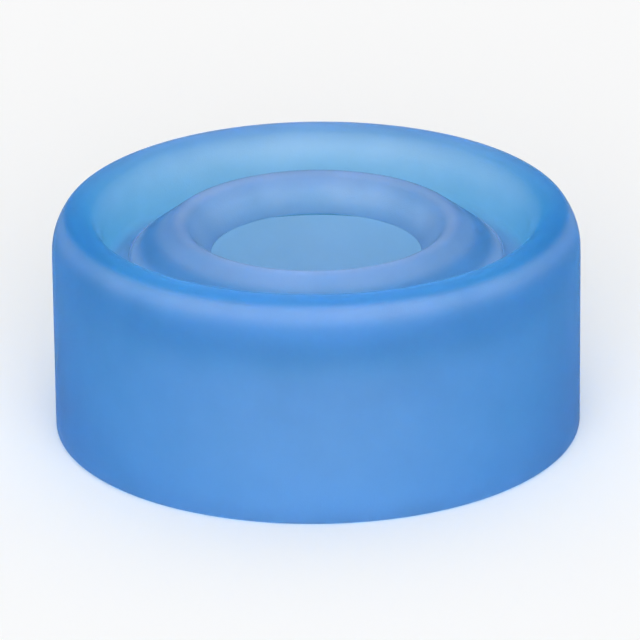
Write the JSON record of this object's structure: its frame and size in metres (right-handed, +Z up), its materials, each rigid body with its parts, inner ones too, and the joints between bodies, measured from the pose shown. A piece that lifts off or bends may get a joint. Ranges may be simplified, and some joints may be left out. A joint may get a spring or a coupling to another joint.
{
  "type": "soft sealing sleeve",
  "caption": "Soft translucent blue moulded sleeve: open skirt, full-round rim, ring groove and a raised bead around a thin-edged central hole.",
  "frame": {"origin": "centre of the skirt's bottom face, on the ring's axis", "axes": "+Z up along the ring's axis, from the open skirt towards the rim and the bead; X and Y are free, because the part is round"},
  "size_m": [0.07, 0.07, 0.0305],
  "materials": {
    "frosted_elastomer": "satin, frosted, translucent"
  },
  "bodies": {
    "root": {"seal_sleeve": "frosted_elastomer"}
  },
  "joints": []
}
